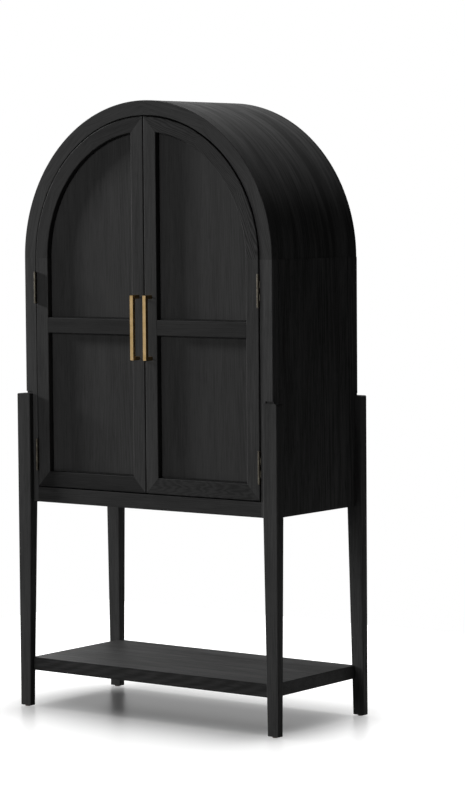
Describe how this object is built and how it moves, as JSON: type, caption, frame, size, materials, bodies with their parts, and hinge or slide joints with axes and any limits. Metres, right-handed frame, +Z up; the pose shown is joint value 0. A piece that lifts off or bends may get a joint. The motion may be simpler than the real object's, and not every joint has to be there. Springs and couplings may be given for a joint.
{
  "type": "bar armoire",
  "caption": "Tall arch-topped bar cabinet in black-stained oak with a pair of arched panelled doors, brass bar pulls, tapered corner legs and an open lower shelf.",
  "frame": {"origin": "on the floor under the middle of the whole object's box, pulls and legs included", "axes": "+Z up; +X to the right as one faces the doors; +Y from the doors towards the back"},
  "size_m": [1.051, 0.511, 1.978],
  "materials": {
    "stained_oak": "solid oak, wire-brushed, stained black under satin lacquer",
    "stained_veneer": "oak veneer on board, stained black under satin lacquer",
    "beech": "fluted beech, unfinished",
    "satin_brass": "brushed and lacquered",
    "hinge_brass": "antiqued, satin",
    "steel": "zinc plated",
    "catch_plastic": "moulded",
    "glide_nylon": "moulded"
  },
  "bodies": {
    "cabinet": {"arched_top": "stained_veneer", "bottom_panel": "stained_veneer", "back_panel": "stained_veneer", "frame_arched_head": "stained_oak", "frame_bottom_rail": "stained_oak", "lower_shelf": "stained_veneer", "leg_dowels": "beech", "floor_glides": "glide_nylon", "fixed_shelf": "stained_veneer", "upper_shelf": "stained_veneer", "shelf_pins": "steel", "bottle_shelf": "stained_veneer", "bottle_dividers": "stained_veneer", "stemware_rails": "stained_oak", "magnetic_catches": "catch_plastic", "left_side_panel": "stained_veneer", "left_frame_stile": "stained_oak", "left_front_leg": "stained_oak", "left_back_leg": "stained_oak", "left_upper_hinge_frame_leaf": "hinge_brass", "left_upper_hinge_pin": "hinge_brass", "left_lower_hinge_frame_leaf": "hinge_brass", "left_lower_hinge_pin": "hinge_brass", "right_side_panel": "stained_veneer", "right_frame_stile": "stained_oak", "right_front_leg": "stained_oak", "right_back_leg": "stained_oak", "right_upper_hinge_frame_leaf": "hinge_brass", "right_upper_hinge_pin": "hinge_brass", "right_lower_hinge_frame_leaf": "hinge_brass", "right_lower_hinge_pin": "hinge_brass"},
    "left_door": {"left_hinge_stile": "stained_oak", "left_meeting_stile": "stained_oak", "left_arched_rail": "stained_oak", "left_mid_rail": "stained_oak", "left_bottom_rail": "stained_oak", "left_upper_panel": "stained_veneer", "left_lower_panel": "stained_veneer", "left_pull": "satin_brass", "left_pull_screws": "steel", "left_strike_plate": "steel", "left_upper_hinge_door_leaf": "hinge_brass", "left_lower_hinge_door_leaf": "hinge_brass"},
    "right_door": {"right_hinge_stile": "stained_oak", "right_meeting_stile": "stained_oak", "right_arched_rail": "stained_oak", "right_mid_rail": "stained_oak", "right_bottom_rail": "stained_oak", "right_upper_panel": "stained_veneer", "right_lower_panel": "stained_veneer", "right_pull": "satin_brass", "right_pull_screws": "steel", "right_strike_plate": "steel", "right_upper_hinge_door_leaf": "hinge_brass", "right_lower_hinge_door_leaf": "hinge_brass"}
  },
  "joints": [
    {"name": "left_door_hinge", "type": "hinge", "parent": "cabinet", "child": "left_door", "pos_m": [-0.4505, -0.226, 1.1], "axis": [0, 0, -1], "range_deg": [0, 150]},
    {"name": "right_door_hinge", "type": "hinge", "parent": "cabinet", "child": "right_door", "pos_m": [0.4505, -0.226, 1.1], "axis": [0, 0, 1], "range_deg": [0, 150]}
  ]
}
